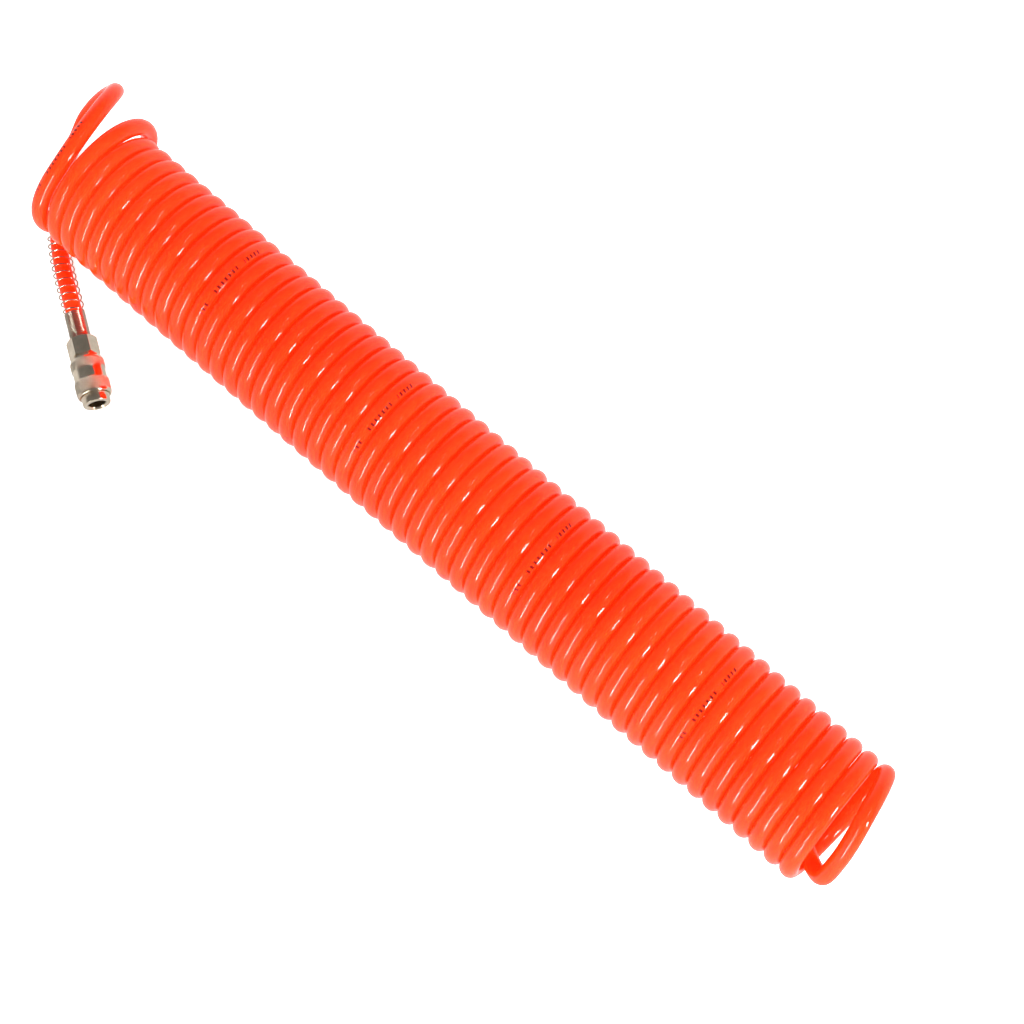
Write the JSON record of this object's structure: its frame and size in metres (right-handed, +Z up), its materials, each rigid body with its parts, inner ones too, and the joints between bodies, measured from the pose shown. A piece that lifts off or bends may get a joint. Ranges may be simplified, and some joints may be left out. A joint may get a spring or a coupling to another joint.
{
  "type": "coiled air hose",
  "caption": "Close-wound recoil air hose with a sleeve-locked quick coupler on one tail and a push-in plug on the other, each held by a union nut and a spring guard.",
  "frame": {"origin": "on the floor, under the middle of the whole hose as it lies", "axes": "+X along the coil from the coupler end to the plug end, +Z up"},
  "size_m": [0.7612, 0.1831, 0.098],
  "materials": {
    "hose": "glossy, slightly translucent orange-red polyurethane",
    "nickel": "warm satin nickel plating, turned and knurled",
    "spring_steel": "drawn steel wire, satin",
    "ball_steel": "polished bearing steel",
    "brass": "turned brass",
    "seal_rubber": "matt black nitrile"
  },
  "bodies": {
    "hose": {"hose_coil": "hose", "hose_loose_loops": "hose", "hose_coupler_tail": "hose", "hose_coupler_end": "hose", "coupler_adapter": "nickel", "coupler_body": "nickel", "body_o_ring": "seal_rubber", "plug_seal": "seal_rubber", "sleeve_spring": "spring_steel", "valve_spring": "spring_steel"},
    "sleeve": {"release_sleeve": "nickel"},
    "ball_1": {"locking_ball_1": "ball_steel"},
    "ball_2": {"locking_ball_2": "ball_steel"},
    "ball_3": {"locking_ball_3": "ball_steel"},
    "ball_4": {"locking_ball_4": "ball_steel"},
    "valve": {"valve_poppet": "brass", "valve_seal": "seal_rubber"},
    "coupler_guard": {"coupler_spring_guard": "spring_steel"},
    "coupler_nut": {"coupler_union_nut": "nickel"},
    "plug_end": {"hose_last_turn": "hose", "hose_plug_tail": "hose", "hose_plug_end": "hose", "plug_body": "nickel"},
    "plug_guard": {"plug_spring_guard": "spring_steel"},
    "plug_nut": {"plug_union_nut": "nickel"}
  },
  "joints": [
    {"name": "sleeve_slide", "type": "slide", "parent": "hose", "child": "sleeve", "axis": [0.848, -0.5299, 0], "range_m": [0, 0.005], "deforming": ["sleeve_spring"]},
    {"name": "ball_1_slide", "type": "slide", "parent": "hose", "child": "ball_1", "axis": [0.3747, 0.5997, -0.7071], "range_m": [0, 0.00085]},
    {"name": "ball_2_slide", "type": "slide", "parent": "hose", "child": "ball_2", "axis": [0.3747, 0.5997, 0.7071], "range_m": [0, 0.00085]},
    {"name": "ball_3_slide", "type": "slide", "parent": "hose", "child": "ball_3", "axis": [-0.3747, -0.5997, 0.7071], "range_m": [0, 0.00085]},
    {"name": "ball_4_slide", "type": "slide", "parent": "hose", "child": "ball_4", "axis": [-0.3747, -0.5997, -0.7071], "range_m": [0, 0.00085]},
    {"name": "valve_slide", "type": "slide", "parent": "hose", "child": "valve", "axis": [-0.848, 0.5299, 0], "range_m": [0, 0.004], "stiffness_N_per_m": 300, "springref_m": -0.004, "deforming": ["valve_spring"]},
    {"name": "coupler_guard_slide", "type": "slide", "parent": "hose", "child": "coupler_guard", "axis": [-0.848, 0.5299, 0], "range_m": [0, 0.005], "deforming": ["coupler_spring_guard"]},
    {"name": "coupler_nut_turn", "type": "hinge", "parent": "coupler_guard", "child": "coupler_nut", "pos_m": [-0.24906, -0.06071, 0.0124], "axis": [-0.848, 0.5299, 0], "range_deg": [0, 1800]},
    {"name": "coil_stretch", "type": "slide", "parent": "hose", "child": "plug_end", "axis": [1, 0, 0], "range_m": [0, 2], "stiffness_N_per_m": 10, "deforming": ["hose_coil"]},
    {"name": "plug_guard_slide", "type": "slide", "parent": "plug_end", "child": "plug_guard", "axis": [1, 0, 0], "range_m": [0, 0.005]},
    {"name": "plug_nut_turn", "type": "hinge", "parent": "plug_guard", "child": "plug_nut", "pos_m": [0.219, 0.026, 0.023], "axis": [1, 0, 0], "range_deg": [0, 1800]}
  ],
  "couplings": [
    {"joint": "ball_1_slide", "follows": "sleeve_slide", "ratio": 0.17},
    {"joint": "ball_2_slide", "follows": "sleeve_slide", "ratio": 0.17},
    {"joint": "ball_3_slide", "follows": "sleeve_slide", "ratio": 0.17},
    {"joint": "ball_4_slide", "follows": "sleeve_slide", "ratio": 0.17},
    {"joint": "coupler_guard_slide", "follows": "coupler_nut_turn", "m_per_rad": 0.00015914},
    {"joint": "plug_guard_slide", "follows": "plug_nut_turn", "m_per_rad": 0.00015914}
  ]
}
